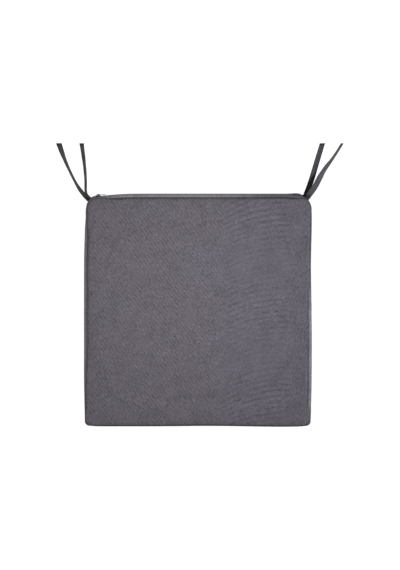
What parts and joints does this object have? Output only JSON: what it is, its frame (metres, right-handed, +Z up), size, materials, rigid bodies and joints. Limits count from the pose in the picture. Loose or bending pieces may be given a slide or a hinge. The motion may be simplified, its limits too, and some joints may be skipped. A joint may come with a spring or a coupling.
{
  "type": "chair seat pad",
  "caption": "Square boxed seat pad with piped edges, a zipped removable cover over a foam core and tie tapes at its rear corners.",
  "frame": {"origin": "on the surface the pad lies on, under the middle of the pad", "axes": "+Z up through the pad's thickness, +Y towards the rear edge with the zip and the ties, +X to the right seen from above with the rear edge away from the viewer"},
  "size_m": [0.5063, 0.5008, 0.0385],
  "materials": {
    "cover_fabric": "plain-woven polyester, mauve grey, matt",
    "piping_fabric": "the cover's own fabric cut on the bias",
    "tie_fabric": "flat tape of the cover's fabric, darker",
    "piping_filler": "twisted cotton filler cord",
    "zip_tape": "woven polyester tape, dark grey",
    "zip_coil": "nylon coil, satin black",
    "zip_metal": "die-cast zinc, black lacquer",
    "foam": "open-cell polyurethane foam"
  },
  "bodies": {
    "cover": {"top_panel": "cover_fabric", "bottom_panel": "cover_fabric", "boxing_strip": "cover_fabric", "upper_zip_band": "cover_fabric", "lower_zip_band": "cover_fabric", "upper_zip_tape": "zip_tape", "lower_zip_tape": "zip_tape", "upper_zip_coil": "zip_coil", "lower_zip_coil": "zip_coil", "top_piping_sleeve": "piping_fabric", "top_piping_cord": "piping_filler", "bottom_piping_sleeve": "piping_fabric", "bottom_piping_cord": "piping_filler", "foam_core": "foam", "left_inner_tie": "tie_fabric", "left_outer_tie": "tie_fabric", "right_inner_tie": "tie_fabric", "right_outer_tie": "tie_fabric"},
    "slider": {"zip_slider": "zip_metal"},
    "puller": {"zip_puller": "zip_metal"}
  },
  "joints": [
    {"name": "zip_slide", "type": "slide", "parent": "cover", "child": "slider", "axis": [1, 0, 0], "range_m": [0, 0.343]},
    {"name": "puller_flip", "type": "hinge", "parent": "slider", "child": "puller", "pos_m": [-0.1755, 0.20285, 0.0175], "axis": [0, 0, 1], "range_deg": [0, 175]}
  ]
}
